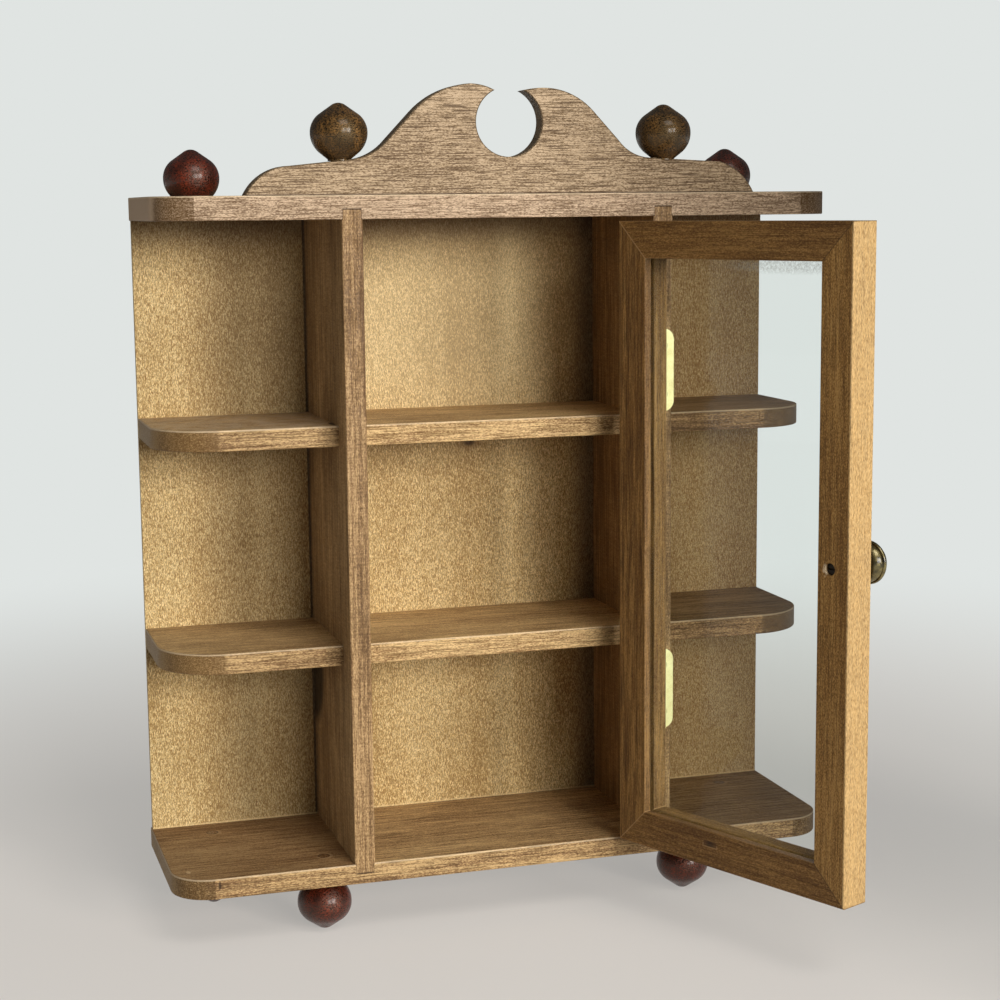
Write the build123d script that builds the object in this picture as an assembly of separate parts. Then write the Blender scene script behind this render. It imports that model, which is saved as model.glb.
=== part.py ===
from build123d import *
import os
from math import cos, hypot, radians, sin, sqrt, tan

# Thimble display case: a small open-sided cabinet with three bays, six shelves, a swan-neck crest,
# turned finials and feet, and an inset glazed door on two barrel hinges. Millimetres.
# The pieces are drawn from the carcase: x from its middle, +X to the right, y from its front edges,
# +Y to the back, and z from the upper face of the bottom board. They are saved about the part's
# origin, which is the middle of the back.

os.makedirs("parts", exist_ok=True)

# ---- driving dimensions: carcase ----
stock = 8.0                  # thickness of the boards of the carcase and of the crest
top_thickness = 9.0          # the top board is left a little thicker
clear_height = 247.5         # between the top and bottom boards
inner_depth = 70.5           # front edge to the face of the back panel
half_length = 135.0          # half the length of the top and bottom boards
bay_width = 115.3            # middle bay, between the dividers
panel_thickness = 3.0        # back panel, let in between the boards
end_setback = 0.5            # panel and side shelves stop this far short of the board ends
housing_depth = 4.0          # how far the dividers are housed in the boards
board_corner = 15.0          # radius of the front corners of the boards
shelf_corner = 24.0          # radius of the outer front corners of the side shelves
stop_gap = 0.5               # between the closed door and the shelf fronts that stop it
arris = 0.4                  # every exposed edge is eased to this radius
shelf_levels = {"lower": 84.0, "upper": 169.5}      # upper faces of the shelves

# ---- driving dimensions: crest ----
eye_radius = 13.0            # the round eye between the two horns
eye_height = 26.7            # its centre above the top board
eye_offset = -0.4            # its centre from the middle of the case
horn_half_gap = 5.6          # half the gap between the horn tips
foot_rise = 64.0             # angle at which the outline leaves the top board
crest_halves = {             # each point from the middle and above the board; cut by eye, so unequal
    "left": dict(side=-1, foot=101.3, brow=(84.5, 10.7), shoulder=(61.4, 13.0), cove=(47.4, 20.3),
                 neck=(37.6, 30.6), peak=(15.7, 40.8)),
    "right": dict(side=1, foot=99.6, brow=(85.8, 11.7), shoulder=(56.0, 13.3), cove=(43.4, 20.0),
                  neck=(33.2, 30.9), peak=(13.4, 39.4)),
}
crest_dowel_x = 50.0         # hidden dowels between crest and top board, each side of the middle
crest_dowel_length = 10.0

# ---- driving dimensions: turnings ----
knop_diameter = 21.3         # widest part of every finial and foot
knop_neck_diameter = 8.6     # its narrow neck
knop_drop = 10.4             # foot of the neck to the widest part
knop_rise = 10.8             # widest part to the tip
knop_collar = 0.6            # straight stretch at the foot of the neck
knop_flank = 35.0            # angle of the straight flank below the tip, from level
knop_tip_radius = 4.5        # rounding of the tip
flat_drop = 7.0              # the two end finials are cut flat this far below the widest part
peg_diameter = 4.0           # dowel on each finial and foot, and in the crest
peg_length = 6.0             # on the finials; on the feet it comes through the bottom board
peg_clearance = 0.05         # round each dowel in its hole
seat_height = 12.4           # spot-faced seats for the finials on the crest shoulders
seat_margin = 0.2            # round the finial's neck
shoulder_finial_x = {"left": -65.2, "right": 63.1}
end_finial_x = {"left": -114.4, "right": 105.7}
end_finial_y = 43.0
front_foot_x = {"left": -75.0, "right": 76.4}
front_foot_y = 14.6
rear_foot_x, rear_foot_y = 112.0, 58.5

# ---- driving dimensions: door ----
door_thickness = 12.5
member_width = 14.0          # face width of the four mitred members
hinge_side_gap = 0.75        # between the closed door and the divider that carries it
swing_clearance = 0.25       # between the free edge's inner corner and the other divider as it swings
bottom_gap = 1.2
top_gap = 1.8
glass_thickness = 2.0
groove_clearance = 0.3       # between the glass and each face of its groove
groove_depth = 4.0           # how far the groove goes into the members
glass_edge_clearance = 0.5   # between the glass edge and the bottom of its groove
inner_lip = 3.1              # wood behind the groove, on the inner face
door_open_angle = 114.5      # the door stands open this far

# ---- driving dimensions: hinges ----
lower_hinge_rise = 58.8      # foot of the door to the middle of the lower hinge
upper_hinge_drop = 58.0      # head of the door to the middle of the upper hinge
leaf_height = 32.4
leaf_thickness = 0.8
leaf_corner = 4.2            # radius of the outer corners of the leaves
leaf_reach = 11.4            # barrel axis to the outer edge of a leaf
leaf_relief = 0.2            # the frame leaf is thinned to clear the closed door's face by this much
barrel_diameter = 2.6
barrel_gap = 0.2             # round the barrel, and between one knuckle and the next
middle_knuckle = 12.0        # length of the door leaf's knuckle
pin_diameter = 1.4
pin_clearance = 0.05         # round the pin in the knuckle that turns on it
axis_inset = 2.75            # barrel axis from the divider's inner face, towards the door
screw_head_diameter = 3.4
screw_diameter = 1.6
screw_length = 6.5
screw_spacing = 19.0         # between the two screws of a leaf
screw_reach = 6.8            # barrel axis to the screws

# ---- driving dimensions: knob ----
knob_level = 124.0           # knob axis above the bottom board
knob_setback = 8.4           # knob axis from the free edge of the door
knob_diameter = 16.0
knob_stem_diameter = 6.4
knob_flange_diameter = 9.0
knob_flange_thickness = 1.0
knob_neck_length = 4.6       # the head begins this far out from the door
knob_rim_level = 9.0         # the widest bead, out from the door
knob_nub_diameter = 3.2      # the round nub in the middle of the front
knob_projection = 18.0
knob_screw_diameter = 3.0
knob_screw_head = 4.4
knob_screw_head_height = 1.5
knob_screw_sink = 1.2        # screw head below the inner face of the door
knob_screw_grip = 7.0        # how far the screw goes into the knob
screw_clearance = 0.05       # round the knob screw

# ---- driving dimensions: brads ----
brad_diameter = 1.2
brad_length = 12.0
brad_end_distance = 36.0     # end brads of each divider, from the top and bottom boards

# ---- levels and faces worked out from them ----
board_depth = inner_depth + panel_thickness
top_face = clear_height + top_thickness
divider_in = bay_width / 2
divider_out = divider_in + stock
divider_mid = divider_in + stock / 2
shelf_end = half_length - end_setback
shelf_front = door_thickness + stop_gap
door_foot = bottom_gap
door_head = clear_height - top_gap
hinge_levels = {"lower": door_foot + lower_hinge_rise, "upper": door_head - upper_hinge_drop}
divider_brad_levels = (brad_end_distance, clear_height / 2, clear_height - brad_end_distance)
groove_front = door_thickness - inner_lip - glass_thickness - 2 * groove_clearance
barrel_radius = barrel_diameter / 2
axis_x = divider_in - axis_inset
axis_y = -(barrel_radius + barrel_gap)
hinge_edge = divider_in - hinge_side_gap
swing_reach = hypot(axis_x + divider_in - swing_clearance, axis_y)
free_edge = axis_x - sqrt(swing_reach**2 - (door_thickness - axis_y)**2)
to_origin = Pos(0, -board_depth, -clear_height / 2)


def save(name, shape):
    """One named sub-part, one file."""
    placed = to_origin * shape
    placed.label = name
    export_step(placed, f"parts/{name}.step")


def block(x0, x1, y0, y1, z0, z1):
    """A box between two corners."""
    middle = Pos((x0 + x1) / 2, (y0 + y1) / 2, (z0 + z1) / 2)
    return middle * Box(x1 - x0, y1 - y0, z1 - z0)


def post(diameter, length, grows=Align.MIN):
    """An upright cylinder that starts or ends at the origin."""
    return Cylinder(diameter / 2, length, align=(Align.CENTER, Align.CENTER, grows))


def round_front_corners(slab, radius, sides):
    """Round the upright front edges of a flat board, on the given sides of its middle."""
    middle = slab.bounding_box().center()
    edges = slab.edges().filter_by(Axis.Z).filter_by(lambda e: e.center().Y < middle.Y)
    corners = edges.filter_by(lambda e: any(side * (e.center().X - middle.X) > 0 for side in sides))
    return fillet(corners, radius)


def eased(shape, exposed):
    """Ease the edges that exposed() picks by their middles."""
    return fillet(shape.edges().filter_by(lambda e: exposed(e.center())), arris)


# ---- turned finials and feet ----
def knop(drop, peg):
    """An acorn knop on its dowel, tip up. A smaller drop than knop_drop cuts its neck off flat."""
    wide, neck, foot = knop_diameter / 2, knop_neck_diameter / 2, drop - knop_drop
    flank = radians(knop_flank)
    tip_centre = drop + knop_rise - knop_tip_radius
    tip_edge = (knop_tip_radius * sin(flank), tip_centre + knop_tip_radius * cos(flank))
    belly_low = (wide * 0.7, drop - knop_drop * 0.7)
    belly_high = (wide * 0.685, tip_edge[1] - (wide * 0.685 - tip_edge[0]) * tan(flank))
    with BuildPart() as turned:
        with BuildSketch(Plane.XZ):
            with BuildLine():
                Polyline((0, foot), (neck, foot), (neck, foot + knop_collar), belly_low)
                ThreePointArc(belly_low, (wide * 0.925, drop - knop_drop * 0.38), (wide, drop))
                ThreePointArc((wide, drop), (wide * 0.91, drop + knop_rise * 0.36), belly_high)
                Line(belly_high, tip_edge)
                CenterArc((0, tip_centre), knop_tip_radius, 90 - knop_flank, knop_flank)
                Line((0, drop + knop_rise), (0, foot))
            make_face()
        revolve(axis=Axis.Z)
        if drop < knop_drop:
            split(bisect_by=Plane.XY, keep=Keep.TOP)
    return turned.part + post(peg_diameter, peg, Align.MAX)


def peg_hole(x, y, z):
    """The hole for a finial's dowel, down into a face at z."""
    return Pos(x, y, z) * post(peg_diameter + 2 * peg_clearance, peg_length + peg_clearance, Align.MAX)


foot_places = {
    "front_left": (front_foot_x["left"], front_foot_y),
    "front_right": (front_foot_x["right"], front_foot_y),
    "rear_left": (-rear_foot_x, rear_foot_y),
    "rear_right": (rear_foot_x, rear_foot_y),
}
seat_level = top_face + seat_height
shoulder_finials = []
for side, x in shoulder_finial_x.items():
    shoulder_finials.append(Pos(x, stock / 2, seat_level) * knop(knop_drop, peg_length))
    save(f"{side}_crest_finial", shoulder_finials[-1])
for side, x in end_finial_x.items():
    save(f"{side}_end_finial", Pos(x, end_finial_y, top_face) * knop(flat_drop, peg_length))
for place, (x, y) in foot_places.items():
    save(f"{place}_foot", Pos(x, y, -stock) * Rot(180, 0, 0) * knop(knop_drop, stock))


# ---- brads that hold the back panel, driven flush from behind ----
brad_places = [(side * divider_mid, z) for side in (-1, 1) for z in divider_brad_levels]
for level in shelf_levels.values():
    side_middle = (divider_out + shelf_end) / 2
    brad_places += [(x, level - stock / 2) for x in (-side_middle, 0, side_middle)]
brads = [Pos(x, board_depth, z) * Rot(90, 0, 0) * post(brad_diameter, brad_length) for x, z in brad_places]
save("panel_brads", Compound(brads))


# ---- top and bottom boards ----
def board(low, high):
    """A board between two levels, with its two front corners rounded."""
    slab = block(-half_length, half_length, 0, board_depth, low, high)
    slab = round_front_corners(slab, board_corner, (-1, 1))
    return eased(slab, lambda c: c.Y < inner_depth and abs(c.Z - (low + high) / 2) > stock / 4)


def divider(side):
    """One divider, its ends let into the housings in the boards."""
    faces = sorted((side * divider_in, side * divider_out))
    slab = block(*faces, 0, inner_depth, -housing_depth, clear_height + housing_depth)
    return eased(slab, lambda c: c.Y < stock and 0 < c.Z < clear_height)


dividers = {"left": divider(-1), "right": divider(1)}
crest_holes = []
for x in (-crest_dowel_x, crest_dowel_x):
    hole = post(peg_diameter + 2 * peg_clearance, crest_dowel_length + 2 * peg_clearance, Align.CENTER)
    crest_holes.append(Pos(x, stock / 2, top_face) * hole)

top_board = board(clear_height, top_face) - list(dividers.values()) - crest_holes
top_board -= [peg_hole(x, end_finial_y, top_face) for x in end_finial_x.values()]
save("top_board", top_board)

bottom_board = board(-stock, 0) - list(dividers.values())
foot_hole = post(peg_diameter + 2 * peg_clearance, stock)
bottom_board -= [Pos(x, y, -stock) * foot_hole for x, y in foot_places.values()]
save("bottom_board", bottom_board)


# ---- back panel and shelves ----
panel = block(-shelf_end, shelf_end, inner_depth, board_depth, 0, clear_height)
save("back_panel", panel - brads)

for level_name, level in shelf_levels.items():
    underside, middle_height = level - stock, level - stock / 2
    middle_shelf = block(-divider_in, divider_in, shelf_front, inner_depth, underside, level)
    middle_shelf = eased(middle_shelf, lambda c: c.Y == shelf_front and abs(c.X) < stock)
    save(f"middle_{level_name}_shelf", middle_shelf - brads)
    for side_name, side in (("left", -1), ("right", 1)):
        ends = sorted((side * divider_out, side * shelf_end))
        side_shelf = block(*ends, shelf_front, inner_depth, underside, level)
        side_shelf = round_front_corners(side_shelf, shelf_corner, (side,))
        side_shelf = eased(side_shelf, lambda c: c.Y < inner_depth - stock and abs(c.X) > divider_out + stock
                           and abs(c.Z - middle_height) > stock / 4)
        save(f"{side_name}_{level_name}_shelf", side_shelf - brads)


# ---- swan-neck crest ----
def heading(start, end):
    """The direction from one point of an outline to the next."""
    return end[0] - start[0], end[1] - start[1]


def crest_half(side, foot, brow, shoulder, cove, neck, peak):
    """The outline of one half, from its foot on the board to the tip of its horn."""
    points = [(side * x, z) for x, z in ((foot, 0), brow, shoulder, cove, neck, peak)]
    start, brow_end, shoulder_end, cove_end, neck_end, top = points
    tip = (eye_offset + side * horn_half_gap, eye_height + sqrt(eye_radius**2 - horn_half_gap**2))
    TangentArc(start, brow_end, tangent=(-side * cos(radians(foot_rise)), sin(radians(foot_rise))))
    Line(brow_end, shoulder_end)
    TangentArc(shoulder_end, cove_end, tangent=heading(brow_end, shoulder_end))
    Line(cove_end, neck_end)
    TangentArc(neck_end, top, tangent=heading(cove_end, neck_end))
    TangentArc(top, tip, tangent=(-side, 0))
    return start, tip


with BuildPart() as crest_build:
    with BuildSketch(Plane.XZ.offset(-stock)):
        with BuildLine():
            left_foot, left_tip = crest_half(**crest_halves["left"])
            right_foot, right_tip = crest_half(**crest_halves["right"])
            ThreePointArc(left_tip, (eye_offset, eye_height - eye_radius), right_tip)
            Line(left_foot, right_foot)
        make_face()
    extrude(amount=stock)
outline = crest_build.part.edges().filter_by(
    lambda e: e.center().Z > arris and abs(e.center().Y - stock / 2) > stock / 4
)
crest = chamfer(outline, arris)
crest = Pos(0, 0, top_face) * crest
for x in shoulder_finial_x.values():
    crest -= Pos(x, stock / 2, seat_level) * post(knop_neck_diameter + 2 * seat_margin, stock)
    crest -= peg_hole(x, stock / 2, seat_level)
save("crest", crest - shoulder_finials - crest_holes)

crest_dowels = [Pos(x, stock / 2, top_face) * post(peg_diameter, crest_dowel_length, Align.CENTER)
                for x in (-crest_dowel_x, crest_dowel_x)]
save("crest_dowels", Compound(crest_dowels))


# ---- hinges, drawn with the door closed ----
hinge_axis = Axis((axis_x, axis_y, 0), (0, 0, 1))


def opened(shape):
    """A piece of the closed door, turned to where the door stands."""
    return shape.rotate(hinge_axis, door_open_angle)


def hinge_screw(x, z):
    """A countersunk screw, its head flush with a leaf that lies on the plane y = 0."""
    head_height = (screw_head_diameter - screw_diameter) / 2
    head = Cone(screw_head_diameter / 2, screw_diameter / 2, head_height,
                align=(Align.CENTER, Align.CENTER, Align.MIN))
    return Pos(x, -leaf_thickness, z) * Rot(-90, 0, 0) * (head + post(screw_diameter, screw_length))


def leaf(side, z, knuckles):
    """A leaf on one side of the barrel, and its knuckles at the given (low, high) heights."""
    ends = sorted((axis_x, axis_x + side * leaf_reach))
    plate = block(*ends, -leaf_thickness, 0, z - leaf_height / 2, z + leaf_height / 2)
    edges = plate.edges().filter_by(Axis.Y)
    corners = edges.filter_by(lambda e: side * (e.center().X - axis_x) > leaf_reach / 2)
    knuckle_posts = [Pos(axis_x, axis_y, low) * post(barrel_diameter, high - low) for low, high in knuckles]
    return fillet(corners, leaf_corner), knuckle_posts


def hinge(name, z):
    """Both leaves and the pin of one hinge, and the holes for its screws."""
    half, middle = leaf_height / 2, middle_knuckle / 2
    cleared = barrel_radius + barrel_gap
    frame_spans = [(z - half, z - middle - barrel_gap), (z + middle + barrel_gap, z + half)]
    door_spans = [(z - middle, z + middle)]
    frame_plate, frame_knuckles = leaf(1, z, frame_spans)
    door_plate, door_knuckles = leaf(-1, z, door_spans)
    relief = block(axis_x, divider_in, -leaf_relief, 0, z - half, z + half)
    door_knuckle_room, *frame_knuckle_room = [
        block(axis_x - cleared, axis_x + cleared, axis_y, 0, low - barrel_gap, high + barrel_gap)
        for low, high in door_spans + frame_spans]
    pin = Pos(axis_x, axis_y, z) * post(pin_diameter, leaf_height, Align.CENTER)
    bore = Pos(axis_x, axis_y, z) * post(pin_diameter + 2 * pin_clearance, leaf_height, Align.CENTER)
    screws = {side: [hinge_screw(axis_x + side * screw_reach, z + end * screw_spacing / 2) for end in (-1, 1)]
              for side in (1, -1)}
    frame_leaf = (frame_plate - relief - door_knuckle_room) + frame_knuckles
    door_leaf = (door_plate - frame_knuckle_room) + door_knuckles
    save(f"{name}_hinge_frame_leaf", frame_leaf - pin - screws[1])
    save(f"{name}_hinge_door_leaf", opened(door_leaf - bore - screws[-1]))
    save(f"{name}_hinge_pin", pin)
    return screws


frame_screws, door_screws = [], []
for level_name, level in hinge_levels.items():
    screws = hinge(level_name, level)
    frame_screws += screws[1]
    door_screws += screws[-1]
save("hinge_frame_screws", Compound(frame_screws))
save("hinge_door_screws", opened(Compound(door_screws)))

for side_name, shape in dividers.items():
    cuts = brads + frame_screws if side_name == "right" else brads
    save(f"{side_name}_divider", shape - cuts)


# ---- door: mitred members, glass, knob ----
left, right, low, high = free_edge, hinge_edge, door_foot, door_head
w = member_width
member_outlines = {
    "door_bottom_rail": [(left, low), (right, low), (right - w, low + w), (left + w, low + w)],
    "door_top_rail": [(left, high), (left + w, high - w), (right - w, high - w), (right, high)],
    "door_free_stile": [(left, low), (left + w, low + w), (left + w, high - w), (left, high)],
    "door_hinge_stile": [(right, low), (right, high), (right - w, high - w), (right - w, low + w)],
}
sight_inset = w - groove_depth
groove = block(left + sight_inset, right - sight_inset, groove_front, door_thickness - inner_lip,
               low + sight_inset, high - sight_inset)
glass_inset = sight_inset + glass_edge_clearance
glass = block(left + glass_inset, right - glass_inset, groove_front + groove_clearance,
              groove_front + groove_clearance + glass_thickness, low + glass_inset, high - glass_inset)

knob_x = free_edge + knob_setback
screw_floor = door_thickness - knob_screw_sink - knob_screw_head_height


def from_back(diameter, start, end):
    """A cylinder on the knob's axis, between two depths behind the door's outer face."""
    return Pos(knob_x, end, knob_level) * Rot(90, 0, 0) * post(diameter, end - start)


knob_screw = from_back(knob_screw_diameter, -knob_screw_grip, screw_floor)
knob_screw += from_back(knob_screw_head, screw_floor, screw_floor + knob_screw_head_height)
slot = block(knob_x - knob_screw_head, knob_x + knob_screw_head, screw_floor + knob_screw_head_height / 2,
             door_thickness, knob_level - 0.4, knob_level + 0.4)
screw_hole = from_back(knob_screw_diameter + 2 * screw_clearance, -knob_screw_grip, screw_floor)
screw_hole += from_back(knob_screw_head + 2 * screw_clearance, screw_floor, door_thickness)

for name, outline in member_outlines.items():
    member = extrude(Plane.XZ * make_face(Polyline(*outline, close=True)), -door_thickness)
    length = Axis.X if name.endswith("rail") else Axis.Z
    member = fillet(member.edges().filter_by(length), arris) - groove
    if name == "door_free_stile":
        member -= screw_hole
    if name == "door_hinge_stile":
        member -= door_screws
    save(name, opened(member))
save("door_glass", opened(glass))
save("knob_screw", opened(knob_screw - slot))

with BuildPart() as knob_build:
    rim, stem, flange, nub = (d / 2 for d in (knob_diameter, knob_stem_diameter, knob_flange_diameter,
                                              knob_nub_diameter))
    back_edge = (rim * 0.9, knob_rim_level - 1.3)
    bead_back, bead_front = (rim * 0.9, knob_rim_level - 0.9), (rim * 0.92, knob_rim_level + 0.9)
    dome_edge, boss_edge = (rim * 0.55, knob_rim_level + 3.8), (rim * 0.48, knob_rim_level + 3.6)
    boss_top = (nub, knob_rim_level + 5.4)
    with BuildSketch(Plane.XZ):
        with BuildLine():
            Polyline((0, 0), (flange, 0), (flange, knob_flange_thickness),
                     (stem, knob_flange_thickness + 1.0), (stem, knob_neck_length))
            ThreePointArc((stem, knob_neck_length), (rim * 0.72, knob_neck_length + 0.9), back_edge)
            Polyline(back_edge, (rim * 0.87, knob_rim_level - 1.1), bead_back)
            ThreePointArc(bead_back, (rim, knob_rim_level), bead_front)
            ThreePointArc(bead_front, (rim * 0.76, knob_rim_level + 2.8), dome_edge)
            Line(dome_edge, boss_edge)
            ThreePointArc(boss_edge, (rim * 0.38, knob_rim_level + 4.8), boss_top)
            Line(boss_top, (nub, knob_projection - nub))
            CenterArc((0, knob_projection - nub), nub, 0, 90)
            Line((0, knob_projection), (0, 0))
        make_face()
    revolve(axis=Axis.Z)
knob = Pos(knob_x, 0, knob_level) * Rot(90, 0, 0) * knob_build.part
save("door_knob", opened(knob - screw_hole))
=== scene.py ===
import math

import bmesh
import bpy
from mathutils import Matrix, Vector


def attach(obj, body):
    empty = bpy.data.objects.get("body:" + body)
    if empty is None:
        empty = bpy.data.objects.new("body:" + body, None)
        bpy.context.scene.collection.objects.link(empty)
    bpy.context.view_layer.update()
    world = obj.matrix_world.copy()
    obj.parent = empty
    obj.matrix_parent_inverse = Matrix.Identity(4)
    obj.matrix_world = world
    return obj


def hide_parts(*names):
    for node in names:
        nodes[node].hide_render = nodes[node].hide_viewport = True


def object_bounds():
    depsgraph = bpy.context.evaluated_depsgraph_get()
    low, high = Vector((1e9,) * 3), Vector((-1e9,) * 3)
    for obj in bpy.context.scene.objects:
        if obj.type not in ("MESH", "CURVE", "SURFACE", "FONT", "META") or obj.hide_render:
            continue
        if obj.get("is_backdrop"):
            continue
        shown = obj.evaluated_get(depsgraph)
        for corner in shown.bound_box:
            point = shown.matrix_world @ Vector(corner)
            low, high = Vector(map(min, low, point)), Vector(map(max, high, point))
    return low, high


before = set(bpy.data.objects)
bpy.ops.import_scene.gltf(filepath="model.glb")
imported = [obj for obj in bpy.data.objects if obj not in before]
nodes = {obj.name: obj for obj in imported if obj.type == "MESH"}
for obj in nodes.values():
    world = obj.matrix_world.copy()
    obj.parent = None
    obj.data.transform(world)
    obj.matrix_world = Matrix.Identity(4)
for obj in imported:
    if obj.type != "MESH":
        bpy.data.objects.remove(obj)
size = {"cad": [list(corner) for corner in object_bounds()]}
bpy.context.scene.view_settings.view_transform = "Standard"


# ---- Camera ----
# A camera with a longish lens stands in front of the case, a little to its left and above the
# shelves, and looks slightly down into the bays.
camera = bpy.data.objects.new("camera", bpy.data.cameras.new("camera"))
camera.data.sensor_width, camera.data.lens = 36.0, 72.2
stand = (-0.228121, -0.806060, 0.127872)
turned, tipped, rolled = 0.294912, 0.145235, -0.009910
ahead = Vector((math.sin(turned) * math.cos(tipped),
                math.cos(turned) * math.cos(tipped),
                -math.sin(tipped)))
level = Vector((math.cos(turned), -math.sin(turned), 0.0))
upright = level.cross(ahead)
across = math.cos(rolled) * level + math.sin(rolled) * upright
upward = math.cos(rolled) * upright - math.sin(rolled) * level
camera.matrix_world = Matrix.Translation(stand) @ Matrix((across, upward, -ahead)).transposed().to_4x4()
bpy.context.scene.collection.objects.link(camera)
bpy.context.scene.camera = camera


# ---- Floor, backdrop and lamps ----
# A plain pale floor that runs out into the plain pale room. A tall soft lamp stands along the right
# hand side, with weaker ones in front and overhead and a faint one at the left. A card at the right
# keeps the side lamp off the right hand bay.
class Tone:
    """A shader socket that can be used in sums; each sum or product of tones adds its Math node."""

    def __init__(self, tree, socket):
        self.tree, self.socket = tree, socket

    @classmethod
    def node(cls, tree, kind, settings, sockets, result=0):
        """Any node: its type, its settings, its sockets' values or links, and the output wanted."""
        made = tree.nodes.new(kind)
        for name, value in settings.items():
            if name == "stops":
                ramp = made.color_ramp
                while len(ramp.elements) < len(value):
                    ramp.elements.new(0.5)
                for element, (place, colour) in zip(ramp.elements, value):
                    element.position, element.color = place, colour
            else:
                setattr(made, name, value)
        for key, value in sockets.items():
            if isinstance(value, Tone):
                tree.links.new(value.socket, made.inputs[key])
            else:
                made.inputs[key].default_value = value
        return cls(tree, made.outputs[result])

    def sum(self, operation, first, second=0.0):
        """A Math node of this operation on two tones or numbers."""
        return Tone.node(self.tree, "ShaderNodeMath", {"operation": operation}, {0: first, 1: second})

    def __add__(self, other): return self.sum("ADD", self, other)
    def __radd__(self, other): return self.sum("ADD", other, self)
    def __sub__(self, other): return self.sum("SUBTRACT", self, other)
    def __rsub__(self, other): return self.sum("SUBTRACT", other, self)
    def __mul__(self, other): return self.sum("MULTIPLY", self, other)
    def __rmul__(self, other): return self.sum("MULTIPLY", other, self)
    def __abs__(self): return self.sum("ABSOLUTE", self)

    def larger(self, other):
        """The larger of this tone and another."""
        return self.sum("MAXIMUM", self, other)

    def smaller(self, other):
        """The smaller of this tone and another."""
        return self.sum("MINIMUM", self, other)

    def step(self, low, high):
        """0 below low, 1 above high, and smooth between them; high may be the lower one."""
        return Tone.node(self.tree, "ShaderNodeMapRange", {"interpolation_type": "SMOOTHSTEP"},
                         {"Value": self, "From Min": low, "From Max": high})

    def part(self, axis):
        """One component of a vector."""
        return Tone.node(self.tree, "ShaderNodeSeparateXYZ", {}, {0: self}, axis)

    def stretched(self, factors):
        """A vector with its components multiplied."""
        return Tone.node(self.tree, "ShaderNodeVectorMath", {"operation": "MULTIPLY"},
                         {0: self, 1: factors})

    def noise(self, factors, detail=2.0, rough=0.5, twist=0.0):
        """Cloudy noise over a vector whose components are first multiplied by factors."""
        return Tone.node(self.tree, "ShaderNodeTexNoise", {},
                         {"Vector": self.stretched(factors), "Scale": 1.0, "Detail": detail,
                          "Roughness": rough, "Distortion": twist})

    def mixed(self, low, high):
        """A colour between low and high, by this tone."""
        return Tone.node(self.tree, "ShaderNodeMix", {"data_type": "RGBA"}, {0: self, 6: low, 7: high}, 2)


def paint(red, green, blue):
    """A colour as a paint chart gives it, out of 255."""
    return tuple((c / 255 / 12.92 if c <= 10.3 else ((c / 255 + 0.055) / 1.055) ** 2.4)
                 for c in (red, green, blue)) + (1.0,)


def new_material(name):
    """An empty material: its node tree and its output node."""
    material = bpy.data.materials.new(name)
    material.use_nodes = True
    material.node_tree.nodes.clear()
    output = material.node_tree.nodes.new("ShaderNodeOutputMaterial")
    return material, material.node_tree, output


def ray_kinds(tree):
    """Three tones that are 1 on rays from the camera, from gloss, and through glass."""
    return [Tone.node(tree, "ShaderNodeLightPath", {}, {}, kind)
            for kind in ("Is Camera Ray", "Is Glossy Ray", "Is Transmission Ray")]


backdrop_colour = paint(224, 228, 226)
floor_level, floor_radius = size["cad"][0][2], 3.0
fade_start, fade_end = 0.2, 0.8
sheet = bmesh.new()
bmesh.ops.create_circle(sheet, cap_ends=True, segments=96, radius=floor_radius)
bmesh.ops.translate(sheet, verts=sheet.verts, vec=(0, 0, floor_level))
floor_mesh = bpy.data.meshes.new("floor")
sheet.to_mesh(floor_mesh)
sheet.free()
floor = bpy.data.objects.new("floor", floor_mesh)
bpy.context.scene.collection.objects.link(floor)
floor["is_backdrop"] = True

floor_material, tree, output = new_material("floor_paper")
place = Tone.node(tree, "ShaderNodeTexCoord", {}, {}, "Object")
away = Tone.node(tree, "ShaderNodeVectorMath", {"operation": "LENGTH"}, {0: place}, "Value")
paper = Tone.node(tree, "ShaderNodeBsdfDiffuse", {}, {"Color": paint(168, 160, 152)})
lift = Tone.node(tree, "ShaderNodeEmission", {}, {"Color": paint(214, 212, 208), "Strength": 0.55})
bright = Tone.node(tree, "ShaderNodeAddShader", {}, {0: paper, 1: lift})
glow = Tone.node(tree, "ShaderNodeEmission", {}, {"Color": backdrop_colour})
faded = Tone.node(tree, "ShaderNodeMixShader", {}, {0: away.step(fade_start, fade_end), 1: bright, 2: glow})
from_camera, from_gloss, through_glass = ray_kinds(tree)
seen = from_camera.larger(from_gloss.larger(through_glass))
shown = Tone.node(tree, "ShaderNodeMixShader", {}, {0: seen, 1: paper, 2: faded})
tree.links.new(shown.socket, output.inputs["Surface"])
floor_mesh.materials.append(floor_material)

world = bpy.data.worlds.new("room")
bpy.context.scene.world = world
world.use_nodes = True
world.node_tree.nodes.clear()
tree = world.node_tree
from_camera, from_gloss, through_glass = ray_kinds(tree)
room_light, room_seen, room_shine = [
    Tone.node(tree, "ShaderNodeBackground", {}, {"Color": colour, "Strength": strength})
    for colour, strength in ((paint(236, 240, 243), 0.18), (backdrop_colour, 1.0), (backdrop_colour, 0.15))]
shine = Tone.node(tree, "ShaderNodeMixShader", {}, {0: from_gloss, 1: room_light, 2: room_shine})
seen = from_camera.larger(through_glass)
room = Tone.node(tree, "ShaderNodeMixShader", {}, {0: seen, 1: shine, 2: room_seen})
world_output = tree.nodes.new("ShaderNodeOutputWorld")
tree.links.new(room.socket, world_output.inputs["Surface"])


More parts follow.
